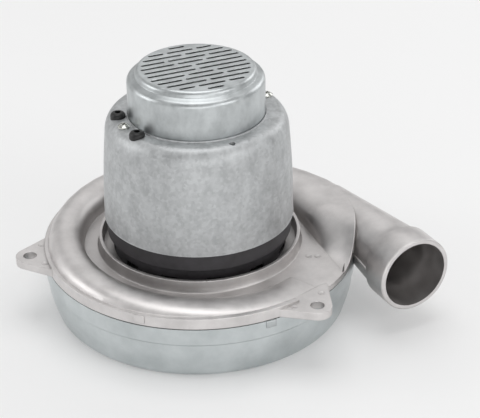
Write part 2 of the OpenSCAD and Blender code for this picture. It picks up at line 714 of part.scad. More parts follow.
// Fixed diffuser between the stages: its upper plate wedges in the shell's taper under the step
module diffuser() {
    plate_z = diffuser_top_z - diffuser_t;
    hub_r = washer_r + 2;
    rim_r = shell_out(plate_z) - shell_wall - run;
    color("#B0B2AF") {
        difference() {
            union() {
                translate([0, 0, plate_z]) cylinder(r = rim_r, h = diffuser_t);
                translate([0, 0, diffuser_low_z]) cylinder(r = impeller_r + 4, h = diffuser_t);
                translate([0, 0, diffuser_low_z + diffuser_t - lap]) linear_extrude(vane_h + 2 * lap)
                    for (i = [0:vane_n - 1]) rotate(360 * i / vane_n)
                        blade_plan(impeller_eye_r + 2, impeller_r + 3, diffuser_t, 40);
            }
            translate([0, 0, plate_z - lap]) cylinder(r = impeller_eye_r + 1, h = diffuser_t + 2 * lap);
            translate([0, 0, diffuser_low_z - lap]) cylinder(r = hub_r, h = diffuser_t + 2 * lap);
        }
    }
}

// Seal ring pressed into the deck round the shaft's spacer
module shaft_seal() {
    color("#3A3632") rotate_extrude() polygon([[spacer_r + clear, seam_z], [seal_r, seam_z], [seal_r, deck_z],
        [spacer_r + clear + 1, deck_z], [spacer_r + clear, deck_z - 1]]);
}

module fan_washers() {
    color("#AEB0AE") for (z = [lower_back_z - washer_t, lower_back_z + back_t, upper_back_z - washer_t,
            upper_back_z + back_t])
        translate([0, 0, z]) tube(fan_seat_r + press, z > upper_back_z ? spacer_r + 2 : washer_r, washer_t);
}

module fan_spacers() {
    color("#A4A6A5") {
        translate([0, 0, lower_back_z + back_t + washer_t])
            tube(fan_seat_r + press, spacer_r, upper_back_z - lower_back_z - back_t - 2 * washer_t);
        translate([0, 0, upper_back_z + back_t + washer_t])
            tube(fan_seat_r + press, spacer_r, lower_bearing_z - upper_back_z - back_t - washer_t);
    }
}

module impeller_nut() {
    color("#C3C0B0") translate([0, 0, lower_back_z - washer_t - nut_h]) difference() {
        cylinder(r = 10.4, h = nut_h, $fn = 6);
        translate([0, 0, -lap]) cylinder(r = fan_seat_r + press, h = nut_h + 2 * lap, $fn = 48);
    }
}

module tube(r0, r1, h) {
    difference() {
        cylinder(r = r1, h = h);
        translate([0, 0, -lap]) cylinder(r = r0, h = h + 2 * lap);
    }
}

// Stepped steel shaft from the impeller nut to the cooling fan
module shaft() {
    color("#C6C8C9") rotate_extrude() polygon([
        [0, shaft_low_z], [fan_seat_r - 0.8, shaft_low_z], [fan_seat_r, shaft_low_z + 0.8],
        [fan_seat_r, lower_bearing_z], [lower_seat_r, lower_bearing_z], [lower_seat_r, lower_bearing_top],
        [core_seat_r + 1.2, lower_bearing_top], [core_seat_r + 1.2, lower_bearing_top + 2],
        [core_seat_r, lower_bearing_top + 2], [core_seat_r, upper_bearing_z], [upper_seat_r, upper_bearing_z],
        [upper_seat_r, shaft_top_z - 0.6], [upper_seat_r - 0.6, shaft_top_z], [0, shaft_top_z]]);
}

// Bearing ring with the groove struck round the balls' pitch circle
module race(r0, r1, z, w, pitch, ball) {
    color("#C9CCCE") translate([0, 0, z]) rotate_extrude() difference() {
        translate([r0, 0]) square([r1 - r0, w]);
        translate([pitch, w / 2]) circle(r = ball + groove_gap, $fn = 48);
    }
}

module balls(z, pitch, ball) {
    color("#D4D6D8") for (i = [0:ball_n - 1]) rotate(360 * i / ball_n)
        translate([pitch, 0, z]) sphere(r = ball, $fn = 32);
}

// Crown of a cage: a ring under the balls with open pockets round them
module cage(z, pitch, ball) {
    half_t = 0.9;
    color("#B8A06A") difference() {
        translate([0, 0, z - ball * 1.4]) tube(pitch - half_t, pitch + half_t, ball * 1.7);
        for (i = [0:ball_n - 1]) rotate(360 * i / ball_n) translate([pitch - 3, 0, z])
            rotate([0, 90, 0]) cylinder(r = ball + run, h = 6, $fn = 32);
    }
}

module lower_bearing_outer() {
    race(lower_pitch_r + lower_ball_r * 0.6, lower_bearing_r, lower_bearing_z, lower_bearing_w,
        lower_pitch_r, lower_ball_r);
}

module lower_bearing_inner() {
    race(lower_seat_r + press, lower_pitch_r - lower_ball_r * 0.6, lower_bearing_z, lower_bearing_w,
        lower_pitch_r, lower_ball_r);
}

module upper_bearing_outer() {
    race(upper_pitch_r + upper_ball_r * 0.6, upper_bearing_r, upper_bearing_z, upper_bearing_w,
        upper_pitch_r, upper_ball_r);
}

module upper_bearing_inner() {
    race(upper_seat_r + press, upper_pitch_r - upper_ball_r * 0.6, upper_bearing_z, upper_bearing_w,
        upper_pitch_r, upper_ball_r);
}

module lower_bearing_balls() {
    balls(lower_ball_z, lower_pitch_r, lower_ball_r);
}

module lower_bearing_cage() {
    cage(lower_ball_z, lower_pitch_r, lower_ball_r);
}

module upper_bearing_balls() {
    balls(upper_ball_z, upper_pitch_r, upper_ball_r);
}

module upper_bearing_cage() {
    cage(upper_ball_z, upper_pitch_r, upper_ball_r);
}

// Outline of one field lamination: yoke, two pole necks and their shoes on the screw line
module field_plan() {
    difference() {
        union() {
            difference() {
                intersection() {
                    circle(r = stack_r);
                    square([2 * stack_r, 2 * stack_flat], center = true);
                }
                circle(r = field_window_r);
            }
            for (a = [0, 180]) rotate(a) translate([field_bore_r + 1, -neck_w / 2])
                square([field_window_r - field_bore_r, neck_w]);
            difference() {
                circle(r = field_bore_r + shoe_t);
                for (a = [90, 270]) rotate(a)
                    polygon([[0, 0], stack_r * [1, open_slope], stack_r * [1, -open_slope]]);
            }
        }
        circle(r = field_bore_r);
        for (a = [0, 180]) rotate(a) translate([screw_circle_r, 0]) circle(r = bolt_hole_r, $fn = 32);
    }
}

module field_stack() {
    color("#6F6A66") translate([0, 0, stack_z]) linear_extrude(stack_h) rotate(screw_az) field_plan();
}

// Two field coils, each a racetrack round its pole neck
module field_coils() {
    coil_w = 9;
    inner_w = neck_w + 2 * clear;
    end_h = 8;
    color("#A8623A") rotate(screw_az) intersection() {
        translate([0, 0, stack_z - 2 * end_h])
            tube(field_bore_r + shoe_t + clear, field_window_r - clear, stack_h + 4 * end_h);
        for (a = [0, 180]) rotate(a) translate([20, 0, stack_z + stack_h / 2]) rotate([90, 0, 90])
            linear_extrude(40) difference() {
                round_box(inner_w + 2 * coil_w, stack_h + 2 * end_h, 7);
                square([inner_w, stack_h + 2 * clear], center = true);
            }
    }
}

// Rectangle with round corners, centred
module round_box(w, h, r) {
    square([w - 2 * r, h], center = true);
    square([w, h - 2 * r], center = true);
    for (x = [-1, 1]) for (y = [-1, 1]) translate([x * (w / 2 - r), y * (h / 2 - r)]) circle(r = r, $fn = 32);
}

// Slotted armature laminations
module armature_core() {
    color("#77736F") translate([0, 0, stack_z]) linear_extrude(stack_h) difference() {
        circle(r = armature_r);
        circle(r = core_seat_r + press);
        for (i = [0:slot_n - 1]) rotate(360 * i / slot_n) slot_plan(0);
    }
}

// One armature slot, drawn in by a gap, with its narrow mouth at the air gap
module slot_plan(gap) {
    foot_r = core_seat_r + 5;
    translate([foot_r + gap, gap - 2]) square([armature_r - 2.5 - foot_r - 2 * gap, 4 - 2 * gap]);
    if (gap == 0) translate([armature_r - 4, -1]) square([6, 2]);
}

module armature_windings() {
    foot_r = core_seat_r + 4;
    color("#B06A3E") {
        for (i = [0:slot_n - 1]) rotate(360 * i / slot_n) translate([0, 0, stack_z - 2])
            linear_extrude(stack_h + 4) slot_plan(0.2);
        winding_head(foot_r, stack_z - winding_h);
        winding_head(foot_r, stack_z + stack_h + 0.6);
    }
}

module winding_head(foot_r, z) {
    w = armature_r - 2 - foot_r;
    translate([0, 0, z]) rotate_extrude() polygon([[foot_r, 0], [foot_r + w - 3, 0], [foot_r + w, 2.5],
        [foot_r + w, winding_h - 3], [foot_r + w - 2, winding_h - 0.6], [foot_r, winding_h - 0.6]]);
}

module commutator() {
    riser_h = (commutator_h - brush_h) / 2 - 0.5;
    color("#B87745") translate([0, 0, commutator_z]) difference() {
        union() {
            cylinder(r = commutator_r, h = commutator_h);
            cylinder(r = commutator_r + 1.8, h = riser_h);
        }
        translate([0, 0, -lap]) cylinder(r = core_seat_r + press, h = commutator_h + 2 * lap);
        for (i = [0:bar_n - 1]) rotate(360 * i / bar_n) translate([commutator_r - 1.4, -0.3, -lap])
            cube([5, 0.6, commutator_h + 2 * lap]);
    }
}

// Upper end bracket: bearing boss, four arms, screw ring and legs down to the field
module upper_bracket() {
    ring_in = cap_r - 2.5;
    boss_r = upper_bearing_r + boss_wall;
    arm_z = brush_z + holder_h / 2;
    arm_x = commutator_r + 1.5;
    arm_w = 12;
    boss_z = upper_bearing_z - 1.6;
    color("#9FA1A0") difference() {
        union() {
            translate([0, 0, bracket_top_z - bracket_t]) tube(ring_in, shoulder_flat_r - press, bracket_t);
            translate([0, 0, boss_z]) cylinder(r = boss_r, h = upper_bearing_top + 1 - boss_z);
            for (a = [0:90:270]) rotate(screw_az + a) translate([arm_x, -arm_w / 2, arm_z])
                cube([ring_in + 2 - arm_x, arm_w, bracket_top_z - arm_z]);
            for (a = [0, 180]) for (s = [-1, 1]) rotate(brush_az + a)
                translate([holder_in_r + 3, s * (holder_w / 2 + 1 + press) - 1, arm_z - holder_h])
                    cube([20, 2, holder_h + 1]);
            motor_pillars(stack_z + stack_h, bracket_top_z - 2.6);
        }
        translate([0, 0, upper_bearing_z - washer_spring_t]) cylinder(r = upper_bearing_r + press, h = 20);
        translate([0, 0, arm_z - lap]) cylinder(r = core_seat_r + 1.5, h = 20);
        motor_bores(stack_z, shoulder_z, bolt_hole_r);
        at_grommets(bracket_top_z - 10) cylinder(r = grommet_r, h = 20, $fn = 48);
    }
}

// Wavy preload washer under the upper bearing's outer race
module preload_washer() {
    color("#9A9C9D") translate([0, 0, upper_bearing_z - washer_spring_t])
        tube(upper_bearing_r - 3, upper_bearing_r - 0.2, washer_spring_t);
}

// Brass brush tubes with a closed outer end, open to the commutator
module brush_holders() {
    color("#C2A050") for (a = [0, 180]) rotate(brush_az + a) difference() {
        translate([holder_in_r, -holder_w / 2, brush_z - holder_h / 2])
            cube([holder_out_r - holder_in_r, holder_w, holder_h]);
        translate([holder_in_r - lap, -brush_w / 2 - run, brush_z - brush_h / 2 - run])
            cube([spring_end_r - holder_in_r + lap, brush_w + 2 * run, brush_h + 2 * run]);
    }
}

// Flat terminals on the closed ends of the brush tubes
module brush_terminals() {
    color("#C9B068") for (a = [0, 180]) rotate(brush_az + a)
        translate([holder_out_r, -terminal_w / 2, brush_z - terminal_drop])
            cube([terminal_t, terminal_w, terminal_h]);
}

// Carbon brush with its face hollowed to the commutator
module brush() {
    color("#35353A") difference() {
        translate([commutator_r - 1, -brush_w / 2, brush_z - brush_h / 2])
            cube([brush_end_r - commutator_r + 1, brush_w, brush_h]);
        translate([0, 0, brush_z - brush_h]) cylinder(r = brush_tip_r, h = 2 * brush_h);
    }
}

module brush_front() {
    rotate(brush_az) brush();
}

module brush_rear() {
    rotate(brush_az + 180) brush();
}

// Coil spring behind a brush, from the brush to the closed end of its tube
module brush_spring() {
    x0 = brush_end_r + brush_wire_r + 0.1;
    x1 = spring_end_r - brush_wire_r - 0.1;
    steps = brush_curls * 8;
    rings = [for (j = [0:steps]) let (q = j * 45, x = x0 + (x1 - x0) * j / steps)
        [for (i = [0:5]) let (w = 60 * i, r = brush_spring_r + brush_wire_r * cos(w))
            [x + brush_wire_r * sin(w), r * cos(q), brush_z + r * sin(q)]]];
    color("#A9ABAC") loft(rings);
}

module brush_spring_front() {
    rotate(brush_az) brush_spring();
}

module brush_spring_rear() {
    rotate(brush_az + 180) brush_spring();
}

echo(least_gap_between_spring_curls =
    (spring_end_r - brush_end_r - 2 * brush_wire_r - 0.2) / brush_curls - 2 * brush_wire_r);

// Cooling fan under the vent cap
module vent_fan() {
    color("#A9B0A6") translate([0, 0, fan_hub_z]) difference() {
        union() {
            cylinder(r = vent_fan_r, h = vent_plate_t);
            cylinder(r = upper_seat_r + 3.5, h = vent_hub_h);
            translate([0, 0, vent_plate_t - lap]) linear_extrude(vent_blade_h + lap)
                for (i = [0:vent_blade_n - 1]) rotate(360 * i / vent_blade_n)
                    blade_plan(15, vent_fan_r - 0.4, 1.3, -30);
        }
        translate([0, 0, -lap]) cylinder(r = upper_seat_r + press, h = vent_hub_h + 2 * lap, $fn = 48);
    }
}

module vent_fan_nut() {
    color("#C3C0B0") translate([0, 0, fan_hub_z + vent_hub_h]) difference() {
        cylinder(r = 8, h = vent_nut_h, $fn = 6);
        translate([0, 0, -lap]) cylinder(r = upper_seat_r + press, h = vent_nut_h + 2 * lap, $fn = 48);
    }
}

fan_shell();
scroll_casting();
baffle_ring();
motor_cover();
vent_cap();
motor_screws();
lead_grommets();
diffuser();
shaft_seal();
field_stack();
field_coils();
upper_bracket();
preload_washer();
brush_holders();
brush_terminals();
brush_spring_front();
brush_spring_rear();
lower_bearing_outer();
upper_bearing_outer();
lower_bearing_inner();
upper_bearing_inner();
lower_bearing_balls();
lower_bearing_cage();
upper_bearing_balls();
upper_bearing_cage();
shaft();
lower_impeller();
upper_impeller();
fan_washers();
fan_spacers();
impeller_nut();
armature_core();
armature_windings();
commutator();
vent_fan();
vent_fan_nut();
brush_front();
brush_rear();
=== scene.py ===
# Looks for a vacuum motor unit: zinc-plated fan shell, die-cast scroll with its horn, galvanised
# motor cover on a black ring, and a bright vent cap. Blender works in metres, in the frame of the
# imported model. The dictionaries hold millimetres and degrees where they say nothing else.
from math import acos, copysign, cos, pi, radians, sin

import bpy
from mathutils import Matrix, Vector


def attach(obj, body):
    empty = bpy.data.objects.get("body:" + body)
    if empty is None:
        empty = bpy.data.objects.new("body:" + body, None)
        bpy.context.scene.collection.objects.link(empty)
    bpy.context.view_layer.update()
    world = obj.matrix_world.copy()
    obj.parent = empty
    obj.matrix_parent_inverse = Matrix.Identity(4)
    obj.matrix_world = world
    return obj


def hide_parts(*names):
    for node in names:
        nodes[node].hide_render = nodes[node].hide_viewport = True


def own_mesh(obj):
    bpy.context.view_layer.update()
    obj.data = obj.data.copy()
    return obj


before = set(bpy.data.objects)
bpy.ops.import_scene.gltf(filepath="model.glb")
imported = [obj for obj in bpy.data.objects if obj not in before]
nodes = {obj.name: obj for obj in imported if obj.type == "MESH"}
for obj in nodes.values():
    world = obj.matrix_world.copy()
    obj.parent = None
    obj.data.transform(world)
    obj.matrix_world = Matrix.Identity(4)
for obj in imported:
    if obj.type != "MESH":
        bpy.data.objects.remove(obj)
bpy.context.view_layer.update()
print("frame loaded:", len(nodes), "nodes")

mm = 0.001


def linear(hexColour):
    # sRGB hex to the linear colour that the shaders work in
    parts = [int(hexColour[i:i + 2], 16) / 255 for i in (1, 3, 5)]
    return tuple(c / 12.92 if c <= 0.04045 else ((c + 0.055) / 1.055) ** 2.4 for c in parts) + (1.0,)


def addNode(tree, kind, settings=None, links=None):
    # adds one node, sets its properties or sockets, and links sockets to it
    node = tree.nodes.new(kind)
    for key, value in (settings or {}).items():
        if key == "stops":  # the two ends of a colour ramp
            for element, (place, colour) in zip(node.color_ramp.elements, value):
                element.position = place
                element.color = colour
        elif isinstance(key, int) or key in node.inputs:
            node.inputs[key].default_value = value
        else:
            setattr(node, key, value)
    for key, source in (links or {}).items():
        tree.links.new(source, node.inputs[key])
    return node


# Camera: fitted to the rims, the ears and the horn's mouth in the photograph

cameraView = {
    "place": (0, -0.92225, 0.5888),  # metres
    "yaw": 1.7322,
    "pitch": 29.45,
    "roll": -0.58712,
    "lens": 116.25,
    "sensor": 36,
    "near": 10,
}


def setCamera(view):
    yaw, pitch, roll = [radians(view[turn]) for turn in ("yaw", "pitch", "roll")]
    ahead = Vector((sin(yaw) * cos(pitch), cos(yaw) * cos(pitch), -sin(pitch)))
    right = Vector((cos(yaw), -sin(yaw), 0))
    up = right.cross(ahead)
    axisX = cos(roll) * right + sin(roll) * up
    axisY = -sin(roll) * right + cos(roll) * up
    turned = Matrix((axisX, axisY, -ahead)).transposed().to_4x4()
    data = bpy.data.cameras.new("camera")
    data.lens = view["lens"]
    data.sensor_width = view["sensor"]
    data.sensor_fit = "HORIZONTAL"
    data.clip_start = view["near"] * mm
    camera = bpy.data.objects.new("camera", data)
    bpy.context.scene.collection.objects.link(camera)
    camera.matrix_world = Matrix.Translation(view["place"]) @ turned
    bpy.context.scene.camera = camera


setCamera(cameraView)
print("camera set")

# Materials. Patch, grain, spangle and wave are sizes of the pattern, depth is how deep the grain
# goes, edge is how round an edge looks in the light, and reach is how near another face shelters.

shading = {
    "patchDetail": 5, "patchRoughness": 0.62,
    "grainDetail": 3, "grainRoughness": 0.55, "grainDepth": 0.06,
    "toneFrom": 0.34, "toneTo": 0.66,  # the noise at the dark and at the light colour
    "glossFrom": 0.3, "glossTo": 0.7,  # the noise at the first and at the second roughness
    "hidden": 0.3, "open": 0.9,  # the open share of a point's sky with all the painted shade, and with none
    "skyRays": 8, "edgeRays": 6,
    "waveLength": 0.314, "waveWobble": 0.3, "waveBump": 0.6, "waveDepth": 0.15,  # the length at scale 1
}


def surface(name, look):
    # cloudy colour and gloss, a fine grain and soft edges, with the extras that a look asks for
    mat = bpy.data.materials.new(name)
    mat.use_nodes = True
    tree = mat.node_tree
    tree.nodes.clear()
    place = addNode(tree, "ShaderNodeTexCoord").outputs["Object"]
    along = addNode(tree, "ShaderNodeMapping", {"Scale": look.get("stretch", (1, 1, 1))}, {"Vector": place})
    patches = addNode(tree, "ShaderNodeTexNoise", {
        "Scale": 1 / (look["patch"] * mm), "Detail": shading["patchDetail"],
        "Roughness": shading["patchRoughness"]}, {"Vector": along.outputs[0]})
    pattern = patches.outputs["Fac"]
    if "spangle" in look:  # crystals of a hot-dip zinc coat, each with its own tone
        crystals = addNode(tree, "ShaderNodeTexVoronoi", {
            "Scale": 1 / (look["spangle"] * mm), "Randomness": 1}, {"Vector": place})
        tone = addNode(tree, "ShaderNodeRGBToBW", {}, {"Color": crystals.outputs["Color"]})
        pattern = addNode(tree, "ShaderNodeMix", {"data_type": "FLOAT", 0: look["spangleShare"]},
                          {2: pattern, 3: tone.outputs[0]}).outputs[0]
    stops = [(shading["toneFrom"], linear(look["dark"])), (shading["toneTo"], linear(look["light"]))]
    colour = addNode(tree, "ShaderNodeValToRGB", {"stops": stops}, {"Fac": pattern}).outputs[0]
    if "paintedShade" in look:  # painted shade: the colour darkens where other faces shelter a point, as shade falls in corners and bores
        sky = addNode(tree, "ShaderNodeAmbientOcclusion", {
            "samples": shading["skyRays"], "Distance": look["reach"] * mm})
        paintedShadeMask = addNode(tree, "ShaderNodeMapRange", {
            "From Min": shading["hidden"], "From Max": shading["open"],
            "To Min": look["paintedShadeShare"], "To Max": 0}, {"Value": sky.outputs["AO"]})
        colour = addNode(tree, "ShaderNodeMix", {"data_type": "RGBA", 7: linear(look["paintedShade"])},
                         {0: paintedShadeMask.outputs[0], 6: colour}).outputs[2]
    grain = addNode(tree, "ShaderNodeTexNoise", {
        "Scale": 1 / (look["grain"] * mm), "Detail": shading["grainDetail"],
        "Roughness": shading["grainRoughness"]}, {"Vector": place})
    gloss = addNode(tree, "ShaderNodeMapRange", {
        "From Min": shading["glossFrom"], "From Max": shading["glossTo"],
        "To Min": look["rough"][0], "To Max": look["rough"][1]}, {"Value": pattern})
    edge = addNode(tree, "ShaderNodeBevel", {"samples": shading["edgeRays"], "Radius": look["edge"] * mm})
    relief = addNode(tree, "ShaderNodeBump", {
        "Strength": look["bump"], "Distance": look.get("depth", shading["grainDepth"]) * mm},
        {"Height": grain.outputs["Fac"], "Normal": edge.outputs[0]})
    normal = relief.outputs[0]
    if "wave" in look:  # wire turns, sheets or tool marks at a fixed spacing along the motor's axis
        waves = addNode(tree, "ShaderNodeTexWave", {
            "bands_direction": "Z", "Scale": shading["waveLength"] / (look["wave"] * mm),
            "Distortion": shading["waveWobble"]}, {"Vector": place})
        normal = addNode(tree, "ShaderNodeBump", {
            "Strength": look.get("waveBump", shading["waveBump"]), "Distance": shading["waveDepth"] * mm},
            {"Height": waves.outputs["Fac"], "Normal": normal}).outputs[0]
    shader = addNode(tree, "ShaderNodeBsdfPrincipled", {"Metallic": look.get("metal", 1.0)}, {
        "Base Color": colour, "Roughness": gloss.outputs[0], "Normal": normal})
    addNode(tree, "ShaderNodeOutputMaterial", {}, {"Surface": shader.outputs[0]})
    return mat


# Zinc-plated deep-drawn steel: smooth, cool grey, with a faint cloud from the plating bath
zincShell = surface("zincPlatedShell", {
    "dark": "#BCC2C3", "light": "#CFD4D5", "patch": 26, "grain": 1.6, "rough": (0.28, 0.38),
    "bump": 0.12, "edge": 0.5})
# Die-cast aluminium, shot-blasted: matt warm grey with a sandy grain, with painted shade darkening its
# corners and bores
castMetal = surface("dieCastAluminium", {
    "dark": "#CFCCCB", "light": "#DFDCDB", "patch": 14, "grain": 0.9, "rough": (0.4, 0.52),
    "bump": 0.34, "depth": 0.07, "edge": 0.9, "paintedShade": "#625F5E", "paintedShadeShare": 0.4, "reach": 50})
# Hot-dip galvanised drawn steel: dull, mottled, a little streaked along the draw
galvanised = surface("galvanisedSteel", {
    "dark": "#AEB0B1", "light": "#CACCCD", "patch": 9, "spangle": 2.0, "spangleShare": 0.24,
    "stretch": (1, 1, 0.6), "grain": 1.1, "rough": (0.46, 0.62), "bump": 0.3, "edge": 0.5})
# Bright zinc-plated steel: shinier than the cover, softened by handling
zincCap = surface("brightZincSteel", {
    "dark": "#B2B6B7", "light": "#CACECF", "patch": 9, "stretch": (1, 1, 0.7), "grain": 1.6,
    "rough": (0.33, 0.45), "bump": 0.16, "edge": 0.8})
# Bright zinc on screws, nuts and washers: small, sharp glints
zincScrew = surface("brightZincScrew", {
    "dark": "#B9BAB5", "light": "#CFD0CA", "patch": 2, "grain": 0.5, "rough": (0.2, 0.32),
    "bump": 0.15, "edge": 0.15})
# Moulded black nylon: satin, slightly pitted
blackMoulding = surface("blackNylon", {
    "dark": "#2C2A2C", "light": "#3A383B", "patch": 10, "grain": 0.8, "rough": (0.42, 0.55),
    "metal": 0, "bump": 0.2, "edge": 0.5})
# Rubber: black with a soft sheen
rubber = surface("blackRubber", {
    "dark": "#0E0E0F", "light": "#191919", "patch": 2, "grain": 0.4, "rough": (0.35, 0.5),
    "metal": 0, "bump": 0.2, "edge": 0.4})
# Rolled aluminium sheet of the fans: fine rolling marks
fanSheet = surface("rolledAluminium", {
    "dark": "#B2B5B6", "light": "#C6C8C9", "patch": 16, "grain": 0.7, "rough": (0.28, 0.4),
    "bump": 0.2, "edge": 0.2})
# Stacked electrical steel: dark sheets, half a millimetre drawn as one to show
laminations = surface("electricalSteel", {
    "dark": "#5B5754", "light": "#726D69", "patch": 6, "grain": 0.6, "rough": (0.4, 0.55),
    "bump": 0.2, "wave": 1.0, "edge": 0.2})
# Enamelled copper wire, wound in turns
copperWire = surface("enamelledCopper", {
    "dark": "#8E4A26", "light": "#B4683C", "patch": 5, "grain": 0.8, "rough": (0.25, 0.35),
    "bump": 0.2, "wave": 1.1, "waveBump": 0.9, "edge": 0.5})
# Die-cast bracket: as the scroll but darker and finer
bracketMetal = surface("castBracket", {
    "dark": "#9A9B9A", "light": "#AEAFAE", "patch": 8, "grain": 0.8, "rough": (0.5, 0.62),
    "bump": 0.3, "edge": 0.5})
# Pressed brass: warm yellow with a satin shine
brassMetal = surface("brass", {
    "dark": "#B5963F", "light": "#CDB163", "patch": 4, "grain": 0.5, "rough": (0.25, 0.36),
    "bump": 0.15, "edge": 0.2})
# Drawn spring wire and strip: clean grey, evenly shiny
springSteel = surface("springSteel", {
    "dark": "#9EA0A1", "light": "#B4B6B7", "patch": 3, "grain": 0.4, "rough": (0.25, 0.34),
    "bump": 0.1, "edge": 0.1})
# Ground and polished bearing steel: pale and mirror-like
bearingSteel = surface("bearingSteel", {
    "dark": "#C2C5C7", "light": "#D2D5D6", "patch": 5, "grain": 0.4, "rough": (0.08, 0.16),
    "bump": 0.05, "edge": 0.2})
# Turned shaft steel: bright, with fine tool marks round it
shaftSteel = surface("turnedSteel", {
    "dark": "#B4B6B7", "light": "#C6C8C8", "patch": 5, "grain": 0.4, "rough": (0.18, 0.28),
    "bump": 0.1, "wave": 0.6, "waveBump": 0.15, "edge": 0.2})
# Commutator copper: reddish, darkened in bands by the brushes
trackCopper = surface("commutatorCopper", {
    "dark": "#8F5430", "light": "#BE7E50", "patch": 3, "stretch": (0.4, 0.4, 2), "grain": 0.4,
    "rough": (0.25, 0.4), "bump": 0.15, "edge": 0.15})
# Moulded cooling fan, grey-green and dull, made dark as painted shade for the shadow under the cap that the
# slots show
fanMouldingPaintedShade = surface("fanMouldingPaintedShade", {
    "dark": "#34382F", "light": "#454A40", "patch": 8, "grain": 0.8, "rough": (0.45, 0.55),
    "metal": 0, "bump": 0.2, "edge": 0.4})
# Pressed carbon: almost black, faintly shiny
carbon = surface("pressedCarbon", {
    "dark": "#232326", "light": "#37373B", "patch": 2, "grain": 0.3, "rough": (0.4, 0.55),
    "metal": 0, "bump": 0.3, "edge": 0.2})
# Painted shade in the seam under the cast flange: black and dull
seamShade = surface("blackSeamShade", {
    "dark": "#0D0D0D", "light": "#161616", "patch": 3, "grain": 0.5, "rough": (0.6, 0.7),
    "metal": 0, "bump": 0.2, "edge": 0.1})

finishOf = {
    "fan_shell": zincShell, "scroll_casting": castMetal, "baffle_ring": blackMoulding,
    "motor_cover": galvanised, "vent_cap": zincCap, "motor_screws": zincScrew, "lead_grommets": rubber,
    "diffuser": fanSheet, "shaft_seal": rubber, "field_stack": laminations, "field_coils": copperWire,
    "upper_bracket": bracketMetal, "preload_washer": springSteel, "brush_holders": brassMetal,
    "brush_terminals": brassMetal, "brush_spring_front": springSteel, "brush_spring_rear": springSteel,
    "lower_bearing_outer": bearingSteel, "upper_bearing_outer": bearingSteel,
    "lower_bearing_inner": bearingSteel, "upper_bearing_inner": bearingSteel,
    "lower_bearing_balls": bearingSteel, "lower_bearing_cage": brassMetal,
    "upper_bearing_balls": bearingSteel, "upper_bearing_cage": brassMetal, "shaft": shaftSteel,
    "lower_impeller": fanSheet, "upper_impeller": fanSheet, "fan_washers": zincScrew,
    "fan_spacers": shaftSteel, "impeller_nut": zincScrew, "armature_core": laminations,
    "armature_windings": copperWire, "commutator": trackCopper, "vent_fan": fanMouldingPaintedShade,
    "vent_fan_nut": zincScrew, "brush_front": carbon, "brush_rear": carbon,
}

nodeMesh = {"merge": 0.004, "angle": 28}


def smoothAll(shape, angle):
    # smooth everywhere but at edges that turn by more than the angle
    shape.data.polygons.foreach_set("use_smooth", [True] * len(shape.data.polygons))
    split = shape.modifiers.new("edges", "EDGE_SPLIT")
    split.split_angle = radians(angle)


def joinTriangles(shape):
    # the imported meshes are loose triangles
    weld = shape.modifiers.new("join", "WELD")
    weld.merge_threshold = nodeMesh["merge"] * mm


def dressNodes():
    for name, node in nodes.items():
        node.data.materials.clear()
        node.data.materials.append(finishOf[name])
        joinTriangles(node)
        smoothAll(node, nodeMesh["angle"])


dressNodes()
print("nodes dressed")

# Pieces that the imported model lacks: thin trim, casting marks and the hollow beside the horn

shellRadius = 106.5
deckTop = 45.0
trimAngle = 35


def deselectAll():
    bpy.ops.object.select_all(action="DESELECT")


def makeActive(shape):
    deselectAll()
    shape.select_set(True)
    bpy.context.view_layer.objects.active = shape


def dressPiece(piece, mat):
    piece.data.materials.clear()
    piece.data.materials.append(mat)
    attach(piece, "housing")


def finishTrim(name, mat):
    # puts the active object's place in its mesh, then smooths and dresses it
    bpy.ops.object.transform_apply(location=True, rotation=True, scale=True)
    bpy.ops.object.shade_smooth_by_angle(angle=radians(trimAngle))
    piece = bpy.context.object
    piece.name = name
    dressPiece(piece, mat)


# A black bead of painted shade in the seam under the cast flange, and the rolled hem of the motor cover

seamShadeBead = {"radius": 106.1, "level": 40.95, "thick": 0.34}
coverHem = {"radius": 63.85, "level": 69.15, "thick": 0.5}
beadMesh = {"around": 160, "across": 10, "flatten": 0.85}


def makeBead(name, look, mat):
    deselectAll()
    middle = (0, 0, look["level"] * mm)
    bpy.ops.mesh.primitive_torus_add(
        location=middle, major_radius=look["radius"] * mm, minor_radius=look["thick"] * mm,
        major_segments=beadMesh["around"], minor_segments=beadMesh["across"])
    bpy.ops.object.mode_set(mode="EDIT")
    bpy.ops.mesh.select_all(action="SELECT")
    bpy.ops.transform.resize(value=(1, 1, beadMesh["flatten"]), center_override=middle)
    bpy.ops.object.mode_set(mode="OBJECT")
    finishTrim(name, mat)


makeBead("seam_shade_bead", seamShadeBead, seamShade)
makeBead("cover_hem", coverHem, galvanised)
print("beads made")

# The horn's straight run. Its axis passes the motor's at off, points to az and ends at the mouth,
# len further on. The pipe's radius is pipe where the collar starts, and shrinks towards the scroll.

hornAxis = {
    "az": -64.2, "off": 105.1, "len": 109.3, "z": 44.0, "pipe": 24.4, "taper": 0.109, "collar": 21}


def hornPoint(s, side, up):
    # a point by its distance from the mouth, sideways from the horn's axis towards the motor, and up
    az = radians(hornAxis["az"])
    ahead = Vector((cos(az), sin(az), 0))
    out = Vector((-sin(az), cos(az), 0))
    point = ahead * (s + hornAxis["len"]) + out * (hornAxis["off"] - side)
    return Vector((point.x, point.y, hornAxis["z"] + up)) * mm


def pipeRadius(s):
    return hornAxis["pipe"] + hornAxis["taper"] * (s + hornAxis["collar"])


# The horn's flank: between the deck's edge and the pipe, the scroll's round turns into a hollow that
# sweeps up the pipe. The casting is cut back to it, and a skin with a wall of its own closes the cut.

